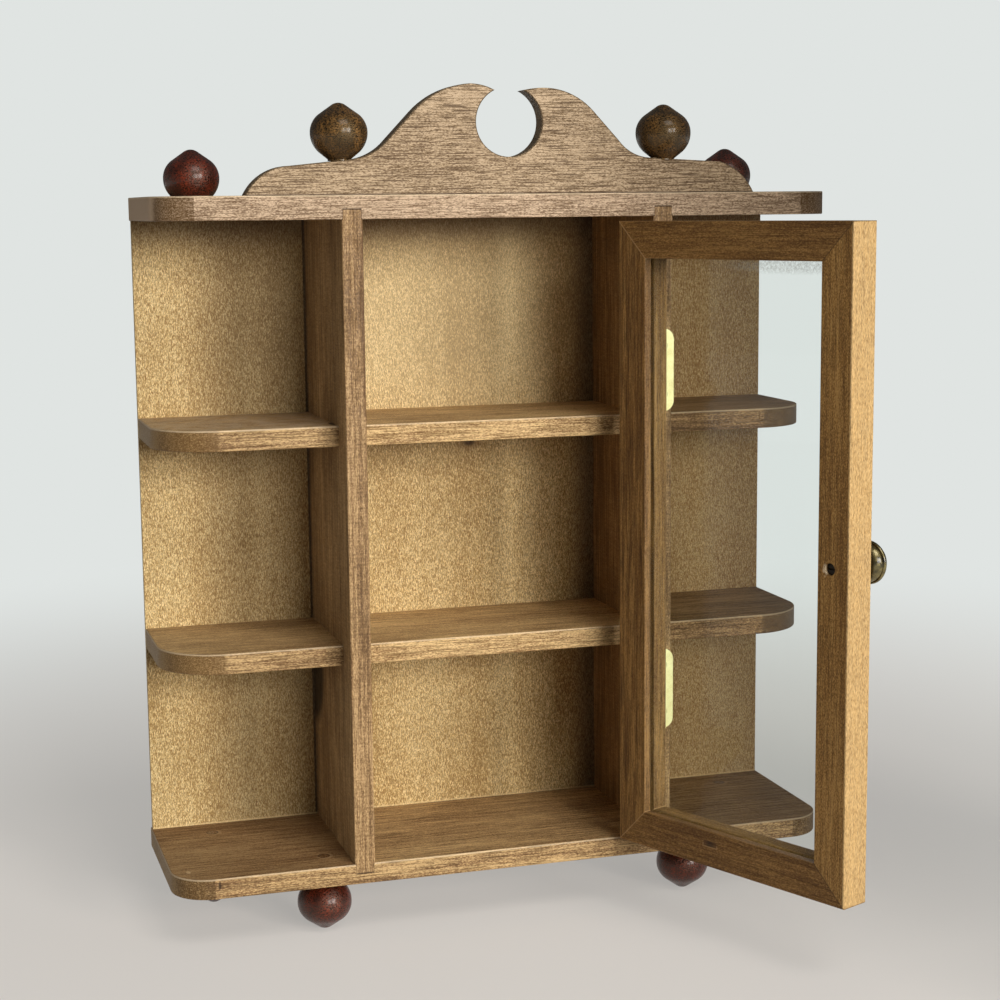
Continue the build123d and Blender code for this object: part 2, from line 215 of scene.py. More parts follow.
def lamp(name, place, target, width, height, power, colour, shines=True):
    """A soft rectangular lamp at place that faces target; shines says whether gloss mirrors it."""
    data = bpy.data.lights.new(name, "AREA")
    data.shape, data.size, data.size_y, data.energy = "RECTANGLE", width, height, power
    data.color = colour
    made = bpy.data.objects.new(name, data)
    made.location = place
    made.rotation_euler = (Vector(target) - Vector(place)).to_track_quat("-Z", "Y").to_euler()
    made.visible_camera, made.visible_glossy = False, shines
    bpy.context.scene.collection.objects.link(made)


warm, softly_warm, white = (1.0, 0.985, 0.96), (1.0, 0.99, 0.97), (1.0, 1.0, 1.0)
lamp("side_lamp", (1.30, -2.62, 0.62), (0.0, -0.05, 0.05), 0.66, 1.0, 50.0, warm)
lamp("front_lamp", (0.42, -2.95, 0.64), (0.0, -0.05, 0.05), 0.75, 1.0, 33.0, softly_warm)
lamp("top_lamp", (0.35, -1.60, 1.95), (0.0, -0.05, 0.0), 1.2, 1.0, 20.0, white)
lamp("wall_light", (-1.5, 0.12, 0.2), (0.0, 0.0, 0.02), 1.0, 0.8, 2.0, white, shines=False)

flag_front, flag_foot, flag_right, flag_head = -0.25, floor_level + 0.05, 0.36, 0.45
bay_edge, crest_edge, board_height = 0.150, 0.125, 0.152
flag_outline = [(bay_edge, flag_foot), (flag_right, flag_foot), (flag_right, flag_head),
                (crest_edge, flag_head), (crest_edge, board_height), (bay_edge, board_height)]
flag_mesh = bpy.data.meshes.new("side_flag")
flag_mesh.from_pydata([(x, flag_front, z) for x, z in flag_outline], [], [range(len(flag_outline))])
side_flag = bpy.data.objects.new("side_flag", flag_mesh)
side_flag.visible_camera = side_flag.visible_glossy = side_flag.visible_transmission = False
bpy.context.scene.collection.objects.link(side_flag)
side_flag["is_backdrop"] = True


# ---- Top and bottom boards ----
# Two long hardwood boards with rounded front corners and eased edges, stained brown and rubbed to a
# satin finish that leaves the pores open. The dowels of the feet come up through the bottom board.
def coated(colour, coats):
    """A colour under coats laid on in turn: where each one lies, how strong it is, and its colour."""
    for where, strength, shade in coats:
        colour = (where * strength).mixed(colour, shade)
    return colour


def timber(name, stain, turn=(0.0, 0.0, 0.0), marks=None):
    """Stained open-pored hardwood.

    turn brings its grain to the x axis, and marks may change its colour. The grain's noises run over
    millimetres. Sawn ends take a darker stain, and their flat middles are paler, partly the end grain's own
    greyer tone and partly painted light, strongest on the top board.
    """
    material, tree, output = new_material(name)
    place = Tone.node(tree, "ShaderNodeTexCoord", {}, {}, "Object")
    facing = Tone.node(tree, "ShaderNodeTexCoord", {}, {}, "Normal")
    grain = Tone.node(tree, "ShaderNodeMapping", {}, {"Vector": place, "Rotation": turn,
                                                      "Scale": (1000.0, 1000.0, 1000.0)})
    bands = grain.noise((0.006, 0.13, 0.13), 2.0, 0.5, 0.6)
    streaks = grain.noise((0.03, 0.8, 0.8), 2.0, 0.6)
    speckle = grain.noise((1.3, 3.0, 3.0), 1.0, 0.5)
    hairs = grain.noise((0.07, 2.8, 2.8), 1.0, 0.5, 0.1)
    nicks = grain.noise((0.25, 3.0, 3.0), 1.0, 0.5)
    clouds = grain.noise((0.02, 0.05, 0.05), 2.0, 0.5)
    figure = ((bands - 0.5) * 0.4 + (streaks - 0.5) * stain["streaks"] + (clouds - 0.5) * 0.5
              + (speckle - 0.5) * (stain["speckle"] * 1.6) + 0.5)
    if "ticks" in stain:
        figure = figure + (grain.noise((1.7, 0.25, 0.25), 1.0, 0.5) - 0.5) * stain["ticks"]
    body = Tone.node(tree, "ShaderNodeValToRGB", {"stops": [
        (0.22, stain["dark"]), (0.5, stain["mid"]), (0.76, stain["pale"])]}, {0: figure})
    fine_hairs, fine_nicks = hairs.step(0.55, 0.65), nicks.step(0.55, 0.67) * 0.7
    open_pores = fine_hairs.larger(fine_nicks)
    across = Tone.node(tree, "ShaderNodeMapping", {"vector_type": "NORMAL"},
                       {"Vector": facing, "Rotation": turn}).part(0)
    end_grain, square_end = abs(across).step(0.02, 0.07), abs(across).step(0.86, 0.97)
    # Flat sawn ends are mixed towards the pale stain, partly their own greyer tone and partly painted
    # light.
    colour = coated(body, [
        (open_pores, stain["pores"], stain["pore"]),
        (end_grain, 0.92 - speckle.step(0.35, 0.65) * 0.4, stain["end"]),
        (square_end, stain.get("sawn", 0.3), stain["pale"])])
    if marks:
        colour = marks(place, colour)
    relief = (speckle - 0.5) * 0.8 - open_pores
    bump = Tone.node(tree, "ShaderNodeBump", {}, {
        "Strength": 0.6, "Distance": 0.0002, "Height": relief})
    wood = Tone.node(tree, "ShaderNodeBsdfPrincipled", {}, {
        "Base Color": colour, "Roughness": open_pores * 0.2 + 0.5, "IOR": 1.5, "Specular IOR Level": 0.3,
        "Normal": bump})
    tree.links.new(wood.socket, output.inputs["Surface"])
    return material


def finish_nodes(names, material):
    """Give CAD nodes one material."""
    for name in names:
        nodes[name].data.materials.clear()
        nodes[name].data.materials.append(material)


def spot(place, centre, radii, soft=0.35):
    """1 inside a round place with this centre and these radii, in millimetres, and 0 outside it."""
    offset = Tone.node(place.tree, "ShaderNodeVectorMath", {"operation": "SUBTRACT"},
                       {0: place, 1: [c / 1000 for c in centre]})
    reach = Tone.node(place.tree, "ShaderNodeVectorMath", {"operation": "LENGTH"},
                      {0: offset.stretched([1000 / r for r in radii])}, "Value")
    return reach.step(1.0 + soft, 1.0 - soft)


def highlit_arris(place, colour, level):
    """The upper edge of a board with a painted highlight along it; level is its upper face, in millimetres.
    """
    height = place.part(2) * 1000.0
    # A thin band just under the upper face, painted paler: a painted highlight.
    highlight_mask = height.step(level - 0.75, level - 0.45) * height.step(level - 0.01, level - 0.04)
    return (highlight_mask * 0.4).mixed(colour, paint(244, 220, 182))


top_face, base_face = 132.75, -123.75
dowel_places = [(-75.0, -58.9), (76.4, -58.9), (-112.0, -15.0), (112.0, -15.0)]


def top_marks(place, colour):
    """The painted highlight along the top edge."""
    return highlit_arris(place, colour, top_face)


def bottom_marks(place, colour):
    """Rims round the dowels, painted shade over the outer bays, a gouge and a fleck near the left end, and
    the painted highlight along the top edge.
    """
    coats = []
    for x, y in dowel_places:
        rim = spot(place, (x, y, base_face), (2.5, 2.5, 2.0), 0.08)
        torn = spot(place, (x + 0.4, y - 0.5, base_face), (3.2, 3.0, 1.0), 0.1)
        coats += [(rim, 0.85, paint(44, 26, 12)), (torn * (1.0 - rim), 0.7, paint(206, 172, 124))]
    gouge = spot(place, (-118.3, -73.5, -126.4), (0.55, 2.0, 1.5))
    # The upper side of the outer bays is painted darker: painted shade.
    shaded_outer_bays = abs(place.part(0) * 1000.0).step(61.0, 65.0)
    upper_side = (place.part(2) * 1000.0).step(base_face - 0.45, base_face - 0.15)
    fleck = spot(place, (-128.5, -62.0, base_face), (0.8, 1.6, 1.0))
    coats += [(gouge, 0.85, paint(52, 34, 16)),
              (shaded_outer_bays * upper_side, 0.42, paint(88, 46, 14)),
              (fleck, 0.5, paint(216, 186, 140))]
    return highlit_arris(place, coated(colour, coats), base_face)


# The top board's sawn ends are painted much paler, partly painted light.
board_stain = dict(pale=paint(206, 176, 144), mid=paint(184, 157, 126), dark=paint(132, 105, 78),
                   pore=paint(96, 70, 46), end=paint(88, 60, 22), sawn=0.85,
                   pores=0.7, streaks=0.35, speckle=1.1)
base_stain = dict(pale=paint(212, 176, 122), mid=paint(180, 144, 96), dark=paint(124, 91, 56),
                  pore=paint(80, 56, 28), end=paint(92, 66, 32), pores=0.65, streaks=1.2, speckle=0.8)
finish_nodes(["top_board"], timber("top_wood", board_stain, marks=top_marks))
finish_nodes(["bottom_board"], timber("base_wood", base_stain, marks=bottom_marks))


# ---- Dividers ----
# Two upright boards whose ends are let into housings in the top and bottom boards, where thin dark
# glue lines show round them in the front edges.
housing = dict(middle=61.65, half_thickness=4.0, bay_half_height=123.75, end=127.75, line=0.55)


def divider_marks(place, colour):
    """The glue lines, and a dark patch on the outside of the left divider."""
    height = abs(place.part(2) * 1000.0)
    from_middle = abs(abs(place.part(0) * 1000.0) - housing["middle"])
    inner, outer = housing["line"] * 1.3, housing["line"] * 0.5
    side_line = from_middle.step(housing["half_thickness"] - inner, housing["half_thickness"] - outer)
    end_line = height.step(housing["end"] - inner, housing["end"] - outer)
    housed = height.step(housing["bay_half_height"] - 0.1, housing["bay_half_height"] + 0.1)
    # A dark patch low on the left divider's outer face, near the back.
    dark_patch = spot(place, (-65.65, -4.0, -63.0), (2.0, 17.0, 19.0), 0.2)
    return coated(colour, [
        (side_line.larger(end_line) * housed, 0.9, paint(58, 38, 18)),
        (dark_patch, 0.85, paint(22, 13, 6))])


divider_stain = dict(pale=paint(196, 160, 112), mid=paint(148, 115, 75), dark=paint(104, 76, 46),
                     pore=paint(88, 62, 38), end=paint(84, 58, 30),
                     pores=0.5, streaks=0.9, speckle=0.55, ticks=0.35)
along_z = (0.0, math.pi / 2, 0.0)
finish_nodes(["left_divider", "right_divider"],
             timber("divider_wood", divider_stain, along_z, marks=divider_marks))


# ---- Shelves ----
# Six shelves of lighter, yellower stuff, nailed through the back and butted to the dividers. The four outer
# ones have their front corners well rounded. Those of the left and right hand bays are painted darker than
# the middle ones: painted shade.
upper_shelf_face, lower_shelf_face = 45.75, -39.75


def shelf_marks(place, colour):
    """The painted highlights along the arrises of both shelves of a bay."""
    return highlit_arris(place, highlit_arris(place, colour, upper_shelf_face), lower_shelf_face)


def left_marks(place, colour):
    """The arrises' painted highlights, dust on the left upper shelf that also stands for a painted sheen,
    and a chip in it where it meets the divider.
    """
    chip = spot(place, (-66.4, -52.0, upper_shelf_face), (1.1, 4.5, 1.2))
    upper_side = (place.part(2) * 1000.0).step(upper_shelf_face - 0.55, upper_shelf_face - 0.15)
    # Grey-pale dust on the upper side of the left upper shelf, partly dust and partly a painted sheen.
    dusty = upper_side * place.noise((150.0, 150.0, 150.0), 3.0, 0.6).step(0.3, 0.6)
    colour = (dusty * 0.45).mixed(colour, paint(186, 166, 140))
    return (chip * 0.85).mixed(shelf_marks(place, colour), paint(48, 32, 18))


# The left hand bay's shelves are painted darker than the middle ones: painted shade.
left_shaded_stain = dict(pale=paint(206, 170, 116), mid=paint(178, 144, 97), dark=paint(126, 92, 54),
                  pore=paint(84, 58, 30), end=paint(108, 78, 38), pores=0.62, streaks=0.9, speckle=0.8)
shelf_stain = dict(pale=paint(226, 190, 132), mid=paint(198, 162, 110), dark=paint(140, 104, 60),
                   pore=paint(96, 68, 34), end=paint(120, 90, 52), pores=0.6, streaks=0.9, speckle=0.8)
# The right hand bay's shelves are painted darker still: painted shade.
right_shaded_stain = dict(pale=paint(190, 152, 104), mid=paint(150, 114, 72), dark=paint(106, 76, 44),
                   pore=paint(76, 52, 28), end=paint(98, 74, 46), pores=0.6, streaks=0.9, speckle=0.8)
finish_nodes(["left_lower_shelf", "left_upper_shelf"],
             timber("left_shelf_shaded_wood", left_shaded_stain, marks=left_marks))
finish_nodes(["middle_lower_shelf", "middle_upper_shelf"],
             timber("shelf_wood", shelf_stain, marks=shelf_marks))
finish_nodes(["right_lower_shelf", "right_upper_shelf"],
             timber("right_shelf_shaded_wood", right_shaded_stain, marks=shelf_marks))


# ---- Back panel ----
# One sheet of thin plywood with its face grain upright, let in between the two boards and nailed to the
# dividers and shelves from behind. Its thin stain is golden and full of short dark flecks. On the face,
# painted shade lies under the top board and the shelves, over the right hand bay, over the right part of
# the left hand bay, in the middle bay's right hand corner and along the left divider. The middle bay has a
# painted light stripe, a painted shadow stripe and a painted pool of light.
panel_face, panel_foot, board_underside = -3.0, -123.75, 123.75
shelf_undersides = (37.75, -47.75)
material, tree, output = new_material("panel_wood")
place = Tone.node(tree, "ShaderNodeTexCoord", {}, {}, "Object")
grain = Tone.node(tree, "ShaderNodeMapping", {}, {"Vector": place, "Scale": (1000.0, 1000.0, 1000.0)})
veneer = grain.noise((0.05, 0.05, 0.006), 3.0, 0.55, 0.8)
across, height = grain.part(0), grain.part(2)
clouds = grain.noise((0.03, 0.03, 0.02), 3.0, 0.55)
fibres = grain.noise((3.2, 3.2, 0.85), 2.0, 0.6, 0.4)
flecks = grain.noise((3.0, 3.0, 1.2), 1.0, 0.6, 0.4)
# A painted light stripe and a painted shadow stripe in the middle bay.
painted_light_stripe = across.step(9.0, 16.0) * across.step(26.0, 19.0)
painted_shadow_stripe = across.step(-12.0, -3.0) * across.step(11.0, 5.0)
figure = ((veneer - 0.5) * 0.6 + (clouds - 0.5) * 0.6 + (fibres - 0.5) * 2.8
          + painted_light_stripe * 0.12 - painted_shadow_stripe * 0.12 + 0.54)
body = Tone.node(tree, "ShaderNodeValToRGB", {"stops": [
    (0.2, paint(172, 136, 78)), (0.5, paint(220, 185, 120)), (0.8, paint(248, 220, 160))]}, {0: figure})
slivers = grain.noise((2.3, 2.3, 0.6), 1.0, 0.5, 0.3)
flecked = (flecks.step(0.47, 0.60) * 0.6).larger(slivers.step(0.54, 0.64) * 0.6)
plain_back = flecked.mixed(body, paint(120, 84, 36))
# A painted pool of light over the middle bay's upper part. Then painted shade over the right hand bay, over
# the right part of the left hand bay, and in the gap along the left divider.
painted_light_patch = spot(place, (-8.0, panel_face, 88.0), (66.0, 6.0, 46.0), 0.6)
right_bay_shade = across.step(64.0, 67.0)
left_bay_shade = across.step(-122.0, -98.0) * across.step(-52.0, -68.0)
left_gap_shade = abs(across + 65.9).step(0.9, 0.5)
coats = [(painted_light_patch, 0.24, paint(250, 228, 176)), (right_bay_shade, 0.3, paint(150, 92, 44)),
         (left_bay_shade, 0.3, paint(96, 70, 34)), (left_gap_shade, 0.8, paint(48, 30, 14))]
# Painted shade under the top board and under each shelf.
shade_pools = [(board_underside, 15.0, 0.62)] + [(underside, 11.0, 0.42) for underside in shelf_undersides]
for underside, reach, depth in shade_pools:
    pooled_shade = height.step(underside - reach, underside) * height.step(underside + 0.4, underside + 0.2)
    coats.append((pooled_shade, depth, paint(62, 36, 16)))
# Painted shade in the middle bay's right hand corner.
right_corner_shade = across.step(43.0, 57.0) * across.step(61.0, 59.0)
knot_ring, knot_heart = [spot(place, (2.5, panel_face, 30.6), (radius * 1.4, 3.0, radius), 0.5)
                         for radius in (3.6, 1.7)]
foot_line = height.step(panel_foot + 0.95, panel_foot + 0.35)
coats += [(right_corner_shade, 0.75, paint(44, 22, 8)), (knot_ring, 0.35, paint(130, 86, 40)),
          (knot_heart, 0.8, paint(60, 36, 16)), (foot_line, 0.5, paint(236, 206, 150))]
on_face = grain.part(1).step(panel_face + 2.0, panel_face + 1.0)
colour = on_face.mixed(plain_back, coated(plain_back, coats))
bump = Tone.node(tree, "ShaderNodeBump", {}, {
    "Strength": 0.6, "Distance": 0.0002, "Height": 1.0 - flecked})
wood = Tone.node(tree, "ShaderNodeBsdfPrincipled", {}, {
    "Base Color": colour, "Roughness": flecked * 0.2 + 0.5, "IOR": 1.45, "Normal": bump})
tree.links.new(wood.socket, output.inputs["Surface"])
finish_nodes(["back_panel"], material)


# ---- Brads ----
# Thin steel nails driven flush through the back panel into the dividers and shelves, gone a little
# grey and rusty.
def metal(name, pale, dark, rough, metallic=1.0, marks=None, lacquer=0.0):
    """Metal with light tarnish; a metallic below 1 stands for a dull film, and lacquer is a clear coat."""
    material, tree, output = new_material(name)
    place = Tone.node(tree, "ShaderNodeTexCoord", {}, {}, "Object")
    tarnish = place.noise((300.0, 300.0, 300.0), 4.0, 0.6)
    colour = tarnish.step(0.3, 0.75).mixed(pale, dark)
    if marks:
        colour = marks(place, colour)
    shine = Tone.node(tree, "ShaderNodeBsdfPrincipled", {}, {
        "Base Color": colour, "Metallic": metallic, "Roughness": (tarnish - 0.5) * 0.3 + rough,
        "Coat Weight": lacquer, "Coat Roughness": 0.22})
    tree.links.new(shine.socket, output.inputs["Surface"])
    return material


finish_nodes(["panel_brads"], metal("steel", paint(150, 148, 144), paint(100, 92, 84), 0.4))


# ---- Crest and its dowels ----
# A swan-neck crest sawn from one board, with a round eye between the horns, glued and dowelled to the
# front edge of the top board. Its stain has gone a little grey.
def crest_marks(place, colour):
    """The dark joint along its foot."""
    joint = (place.part(2) * 1000.0).step(top_face + 0.65, top_face + 0.25)
    return (joint * 0.7).mixed(colour, paint(70, 50, 32))


crest_stain = dict(pale=paint(190, 163, 129), mid=paint(170, 144, 110), dark=paint(124, 98, 68),
                   pore=paint(80, 58, 38), end=paint(78, 62, 40), pores=0.8, streaks=0.25, speckle=1.2)
finish_nodes(["crest"], timber("crest_wood", crest_stain, marks=crest_marks))
dowel_stain = dict(pale=paint(214, 184, 140), mid=paint(200, 166, 120), dark=paint(180, 146, 102),
                   pore=paint(140, 108, 70), end=paint(190, 156, 110), pores=0.5, streaks=0.6, speckle=0.8)
finish_nodes(["crest_dowels"], timber("dowel_wood", dowel_stain, along_z))


# ---- Turned finials and feet ----
# Acorn knops turned with the grain upright, stained red-brown and varnished, those of the crest a
# browner stain. Each has a dowel turned on its end, and those of the feet show in the bottom board.
def varnished(name, pale, dark, mottle, gloss):
    """Turned wood under varnish; gloss tints its shine, and the feet's dowels are bare."""
    material, tree, output = new_material(name)
    place = Tone.node(tree, "ShaderNodeTexCoord", {}, {}, "Object")
    grain = Tone.node(tree, "ShaderNodeMapping", {}, {"Vector": place, "Scale": (1000.0, 1000.0, 1000.0)})
    clouds = grain.noise((0.2, 0.2, 0.12), 3.0, 0.55, 0.5)
    fibres = grain.noise((1.5, 1.5, 2.3), 3.0, 0.7).step(0.40, 0.62)
    colour = (fibres * (clouds.step(0.3, 0.7) * 0.75 + 0.25) * mottle).mixed(dark, pale)
    height = grain.part(2)
    feet_dowels = height.step(-132.2, -131.2) * height.step(-100.0, -110.0)
    colour = feet_dowels.mixed(colour, fibres.mixed(paint(78, 52, 28), paint(122, 88, 52)))
    bump = Tone.node(tree, "ShaderNodeBump", {}, {
        "Strength": 0.4, "Distance": 0.00015, "Height": fibres})
    wood = Tone.node(tree, "ShaderNodeBsdfPrincipled", {}, {
        "Base Color": colour, "Roughness": fibres * 0.14 + 0.27, "IOR": 1.45,
        "Specular IOR Level": 0.75, "Specular Tint": gloss, "Coat Weight": 0.25, "Coat Roughness": 0.16,
        "Normal": bump})
    tree.links.new(wood.socket, output.inputs["Surface"])
    return material


red_brown = varnished("foot_varnish", paint(172, 62, 28), paint(20, 6, 4), 0.42,
                      paint(255, 214, 190))
finish_nodes(["left_end_finial", "right_end_finial", "front_left_foot", "front_right_foot",
              "rear_left_foot", "rear_right_foot"], red_brown)
olive_brown = varnished("finial_varnish", paint(182, 130, 68), paint(14, 8, 4), 0.44,
                        paint(255, 216, 156))
finish_nodes(["left_crest_finial", "right_crest_finial"], olive_brown)


# ---- Door frame ----
# Four members of the same hardwood, mitred at the corners and grooved for the glass, a little darker than
# the case. Glue shows in the mitres, and the free edge is painted paler: a painted highlight. An old screw
# hole is torn inside the free stile, and a short slot in the bottom rail is painted as a dark recess,
# painted shade, with a painted highlight along its lower lip.
door = dict(open=114.5, hinge=(54.9, -75.0), free_edge=-56.53, hinge_edge=56.9,
            foot=-122.55, head=121.95)
door_turn = math.radians(door["open"])
member_width, inner_face, slot_across, slot_height = 13.5, -61.0, 8.2, -113.4
torn_hole = (-46.0, inner_face, -0.2)


def shut(place):
    """Where a point of the door is, in millimetres, once the door is shut."""
    away = Tone.node(place.tree, "ShaderNodeVectorMath", {"operation": "SUBTRACT"},
                     {0: place, 1: (door["hinge"][0] / 1000, door["hinge"][1] / 1000, 0.0)})
    return Tone.node(place.tree, "ShaderNodeMapping", {}, {
        "Vector": away, "Rotation": (0.0, 0.0, -door_turn), "Scale": (1000.0, 1000.0, 1000.0),
        "Location": (door["hinge"][0], door["hinge"][1], 0.0)})


def door_marks(place, colour):
    """Pale sight edges, the free edge's painted highlight, the glue in the mitres, the slot's painted shade
    with a painted highlight below it, and the torn hole.
    """
    closed = shut(place)
    across, height = closed.part(0), closed.part(2)
    inwards = (across - door["free_edge"]).smaller(door["hinge_edge"] - across)
    upwards = (height - door["foot"]).smaller(door["head"] - height)
    depth = inwards.smaller(upwards)
    grit = place.noise((1500.0, 1500.0, 1300.0), 1.0).step(0.3, 0.7)
    sight_edge = depth.step(member_width, member_width + 0.3) * grit
    # A painted highlight along the free edge, broken into streaks.
    free_edge_highlight = across.step(door["free_edge"] + 1.0, door["free_edge"] + 0.5)
    highlight_mask = place.noise((3400.0, 3400.0, 700.0), 1.0).step(0.3, 0.7)
    mitre = abs(inwards - upwards).step(0.42, 0.2)
    glue = across.step(-10.0, 10.0).mixed(paint(62, 42, 24), paint(186, 150, 104))
    # The slot is painted as a recess, darkest in its middle: painted shade. A pale band along its lower lip
    # is a painted highlight.
    along_slot, over_slot = abs(across - slot_across), abs(height - slot_height)
    inside = closed.part(1).step(inner_face - 1.2, inner_face - 0.6)
    below = height.step(slot_height + 0.2, slot_height - 0.2)
    slot = along_slot.step(3.5, 3.1) * over_slot.step(1.2, 0.9) * inside
    slot_lip_highlight = along_slot.step(3.9, 3.6) * over_slot.step(1.6, 1.3) * inside * below
    slot_shade = along_slot.step(3.0, 0.5).mixed(paint(88, 58, 30), paint(46, 28, 14))
    torn = spot(place, door_point(*torn_hole), (1.1, 1.1, 2.1), 0.3)
    frayed = place.noise((900.0, 900.0, 700.0), 1.0).step(0.36, 0.46)
    return coated(colour, [
        (sight_edge, 0.2, paint(190, 156, 112)),
        (free_edge_highlight, highlight_mask * 0.46 + 0.2, paint(244, 206, 144)),
        (mitre, 0.6, glue),
        (slot_lip_highlight, 0.45, paint(190, 154, 106)),
        (slot, 0.85, slot_shade),
        (torn * frayed, 0.85, paint(214, 190, 154))])


def door_point(x, y, z):
    """The place, in millimetres, that a point of the shut door has while the door stands open."""
    along, out = x - door["hinge"][0], y - door["hinge"][1]
    return (door["hinge"][0] + along * math.cos(door_turn) - out * math.sin(door_turn),
            door["hinge"][1] + along * math.sin(door_turn) + out * math.cos(door_turn), z)


door_stain = dict(pale=paint(160, 121, 68), mid=paint(127, 90, 46), dark=paint(96, 64, 28),
                  pore=paint(60, 38, 14), end=paint(84, 56, 28))
stile_stain = dict(door_stain, pores=0.7, streaks=1.3, speckle=0.5)
rail_stain = dict(door_stain, pores=0.4, streaks=0.7, speckle=0.7)
along_rail = (0.0, 0.0, math.pi - door_turn)
free_stain = dict(pale=paint(182, 140, 80), mid=paint(150, 110, 56), dark=paint(112, 76, 34),
                  pore=paint(70, 46, 22), end=paint(96, 68, 36), pores=0.45, speckle=0.9, streaks=0.8)
finish_nodes(["door_hinge_stile"], timber("hinge_stile_wood", stile_stain, along_z, marks=door_marks))
finish_nodes(["door_free_stile"], timber("free_stile_wood", free_stain, along_z, marks=door_marks))
finish_nodes(["door_bottom_rail", "door_top_rail"],
             timber("rail_wood", rail_stain, along_rail, marks=door_marks))


# ---- Glass ----
# One pane of thin clear glass, let into the groove, with dust along its head and a few wiping smears.
# The lamps shine straight through it, and it shines a little less than new glass.
glass_tint = paint(247, 251, 249)
material, tree, output = new_material("pane_glass")
place = Tone.node(tree, "ShaderNodeTexCoord", {}, {}, "Object")
clear = Tone.node(tree, "ShaderNodeBsdfPrincipled", {}, {
    "Base Color": glass_tint, "Roughness": 0.0, "IOR": 1.19, "Transmission Weight": 1.0})
dust = Tone.node(tree, "ShaderNodeBsdfPrincipled", {}, {
    "Base Color": paint(206, 206, 198), "Roughness": 0.9})
grime = place.noise((900.0, 900.0, 900.0), 3.0, 0.65)
smears = place.noise((26.0, 26.0, 9.0), 3.0, 0.5, 1.5)
head_dust = spot(place, door_point(-24.0, -67.0, 106.0), (24.0, 24.0, 2.4), 0.5) * grime.step(0.3, 0.7)
dusty = head_dust * 0.30 + smears.step(0.48, 0.75) * 0.012
to_lamp = Tone.node(tree, "ShaderNodeLightPath", {}, {}, "Is Shadow Ray")
tinted = Tone.node(tree, "ShaderNodeBsdfTransparent", {}, {"Color": glass_tint})
open_to_lamps = Tone.node(tree, "ShaderNodeMixShader", {}, {0: to_lamp, 1: clear, 2: tinted})
pane = Tone.node(tree, "ShaderNodeMixShader", {}, {0: dusty, 1: open_to_lamps, 2: dust})
tree.links.new(pane.socket, output.inputs["Surface"])
finish_nodes(["door_glass"], material)


# ---- Hinges and their screws ----
# Two barrel hinges of polished brass, their leaves on the face of the case and of the door, each
# held by two countersunk screws with slotted heads, which a driver left at any angle.
screw_sizes = {"Head Diameter": 0.0034, "Head Height": 0.0009, "Dome": 0.00022,
               "Shank Diameter": 0.0016, "Length": 0.0065, "Slot Width": 0.0005, "Slot Depth": 0.0005}


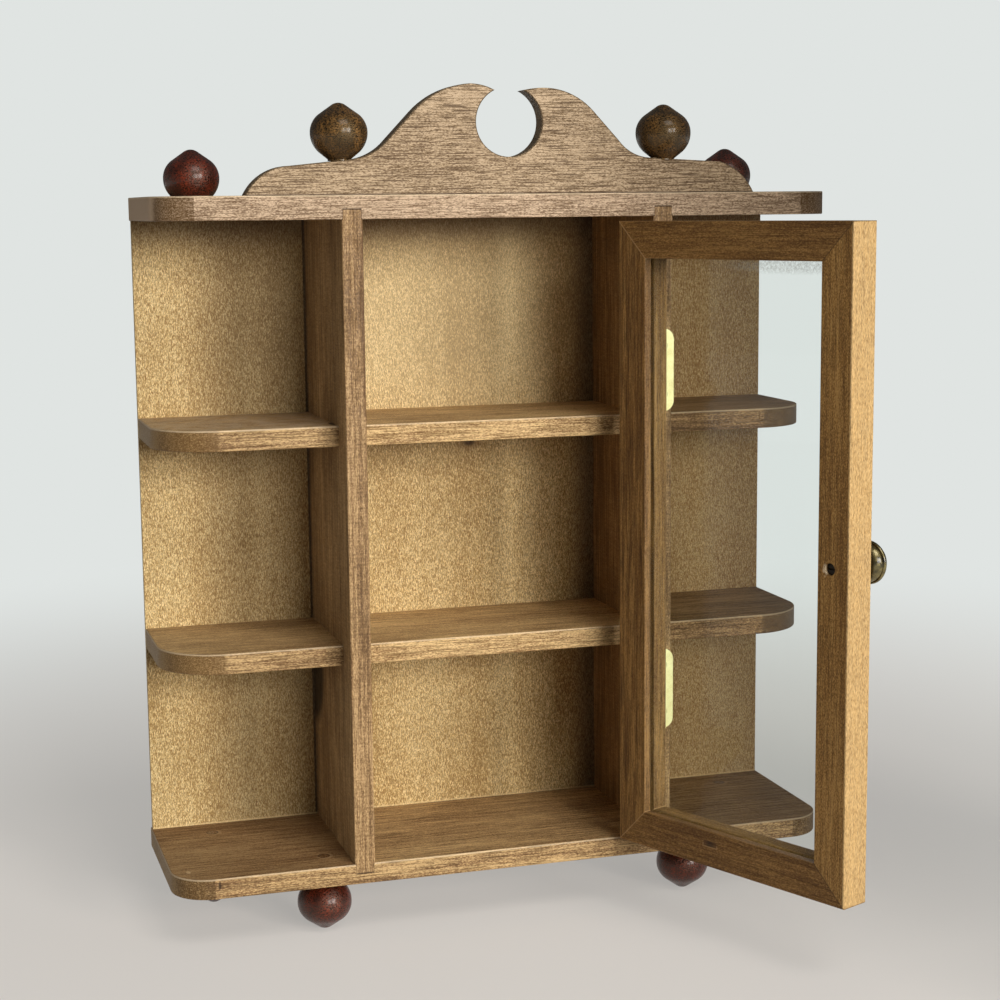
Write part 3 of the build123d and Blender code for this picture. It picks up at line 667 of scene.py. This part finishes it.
def screw_tree():
    """Slotted countersunk screws on the points of a mesh, heads up, each turned by chance."""
    tree = bpy.data.node_groups.new("slotted_screws", "GeometryNodeTree")
    face = tree.interface
    face.new_socket("Points", in_out="INPUT", socket_type="NodeSocketGeometry")
    for name in screw_sizes:
        face.new_socket(name, in_out="INPUT", socket_type="NodeSocketFloat")
    face.new_socket("Tilt", in_out="INPUT", socket_type="NodeSocketVector")
    face.new_socket("Seed", in_out="INPUT", socket_type="NodeSocketInt")
    face.new_socket("Brass", in_out="INPUT", socket_type="NodeSocketMaterial")
    face.new_socket("Screws", in_out="OUTPUT", socket_type="NodeSocketGeometry")
    sizes = tree.nodes.new("NodeGroupInput")

    def given(name):
        """What one of the inputs holds."""
        return Tone(tree, sizes.outputs[name])

    def solid(kind, sockets, lift):
        """A plain solid, raised by lift."""
        made = Tone.node(tree, kind, {}, sockets, "Mesh")
        up = Tone.node(tree, "ShaderNodeCombineXYZ", {}, {"Z": lift})
        return Tone.node(tree, "GeometryNodeTransform", {}, {"Geometry": made, "Translation": up})

    def joined(*parts):
        """Several solids as one mesh."""
        join = tree.nodes.new("GeometryNodeJoinGeometry")
        for part in reversed(parts):
            tree.links.new(part.socket, join.inputs[0])
        return Tone(tree, join.outputs[0])

    head_radius, shank_radius = given("Head Diameter") * 0.5, given("Shank Diameter") * 0.5
    cone = solid("GeometryNodeMeshCone", {
        "Vertices": 40, "Radius Bottom": shank_radius, "Radius Top": head_radius,
        "Depth": given("Head Height")}, given("Head Height") * -1.0)
    dome = solid("GeometryNodeMeshCone", {
        "Vertices": 40, "Radius Bottom": head_radius, "Radius Top": head_radius * 0.72,
        "Depth": given("Dome")}, 0.0)
    cutter_size = Tone.node(tree, "ShaderNodeCombineXYZ", {}, {
        "X": given("Head Diameter") * 1.3, "Y": given("Slot Width"), "Z": given("Slot Depth") * 2.0})
    cutter = solid("GeometryNodeMeshCube", {"Size": cutter_size}, given("Dome"))
    whole = Tone.node(tree, "GeometryNodeMeshBoolean", {"operation": "UNION"},
                      {"Mesh 2": joined(cone, dome)}, "Mesh")
    slotted = Tone.node(tree, "GeometryNodeMeshBoolean", {"operation": "DIFFERENCE"},
                        {"Mesh 1": whole, "Mesh 2": cutter}, "Mesh")
    shank = solid("GeometryNodeMeshCylinder", {
        "Vertices": 20, "Radius": shank_radius, "Depth": given("Length") - given("Head Height")},
        (given("Length") + given("Head Height")) * -0.5)
    placed = Tone.node(tree, "GeometryNodeInstanceOnPoints", {}, {
        "Points": given("Points"), "Instance": joined(slotted, shank), "Rotation": given("Tilt")})
    chance = Tone.node(tree, "FunctionNodeRandomValue", {"data_type": "FLOAT"},
                       {"Min": -1.2, "Max": 1.2, "Seed": given("Seed")}, 1)
    turn = Tone.node(tree, "ShaderNodeCombineXYZ", {}, {"Z": chance})
    turned_screws = Tone.node(tree, "GeometryNodeRotateInstances", {},
                              {"Instances": placed, "Rotation": turn})
    real = Tone.node(tree, "GeometryNodeRealizeInstances", {}, {"Geometry": turned_screws})
    finished = Tone.node(tree, "GeometryNodeSetMaterial", {},
                         {"Geometry": real, "Material": given("Brass")})
    result = tree.nodes.new("NodeGroupOutput")
    tree.links.new(finished.socket, result.inputs["Screws"])
    return tree


hinge_levels, half_spacing = (-63.75, 63.95), 9.5
screw_levels = [level + end * half_spacing for level in hinge_levels for end in (-1, 1)]
frame_screw_x, door_screw_x, leaf_face = 61.7, 48.1, -74.3


def near_screws(place, points, radius, soft):
    """1 close to any of these points, in millimetres."""
    found = spot(place, points[0], (radius, radius, radius), soft)
    for point in points[1:]:
        found = found.larger(spot(place, point, (radius, radius, radius), soft))
    return found


frame_points = [(frame_screw_x, leaf_face, z) for z in screw_levels]
door_points = [door_point(door_screw_x, leaf_face, z) for z in screw_levels]


def leaf_marks(place, colour):
    """Dirt in the rims of the countersinks."""
    rims = near_screws(place, frame_points + door_points, 2.05, 0.1)
    return (rims * 0.55).mixed(colour, paint(96, 72, 30))


leaf_brass = metal("leaf_brass", paint(245, 238, 178), paint(234, 222, 158), 0.5, 0.35, leaf_marks)
screw_brass = metal("screw_brass", paint(244, 226, 156), paint(214, 190, 120), 0.35)
finish_nodes(["lower_hinge_frame_leaf", "upper_hinge_frame_leaf", "lower_hinge_door_leaf",
              "upper_hinge_door_leaf"], leaf_brass)
finish_nodes(["lower_hinge_pin", "upper_hinge_pin", "hinge_frame_screws", "hinge_door_screws"], screw_brass)

screws_tree = screw_tree()
socket = {item.name: item.identifier for item in screws_tree.interface.items_tree
          if item.in_out == "INPUT"}
for name, points, body, turn in (("frame_screws", frame_points, "case", 0.0),
                                 ("door_screws", door_points, "door", door_turn)):
    mesh = bpy.data.meshes.new(name + "_points")
    mesh.from_pydata([[c / 1000 for c in point] for point in points], [], [])
    holder = bpy.data.objects.new(name + "_points", mesh)
    bpy.context.scene.collection.objects.link(holder)
    lay = holder.modifiers.new("screws", "NODES")
    lay.node_group = screws_tree
    inputs = dict(screw_sizes, Seed=4, Brass=screw_brass, Tilt=(math.pi / 2, 0.0, turn))
    for label, value in inputs.items():
        lay[socket[label]] = value
    bpy.context.view_layer.update()
    evaluated = holder.evaluated_get(bpy.context.evaluated_depsgraph_get())
    screws = bpy.data.objects.new(name, bpy.data.meshes.new_from_object(evaluated))
    holder.modifiers.remove(lay)
    bpy.data.objects.remove(holder)
    bpy.context.scene.collection.objects.link(screws)
    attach(screws, body)
    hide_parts(f"hinge_{name}")


# ---- Knob and its screw ----
# A cast brass knob with a beaded rim, gone dark, held by one dull steel screw from inside the door.
finish_nodes(["door_knob"],
             metal("knob_brass", paint(150, 134, 84), paint(16, 13, 9), 0.36, lacquer=0.8))
finish_nodes(["knob_screw"], metal("dull_steel", paint(64, 58, 52), paint(36, 32, 28), 0.5))


# ---- The finished case ----
size["visual"] = [list(corner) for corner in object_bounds()]
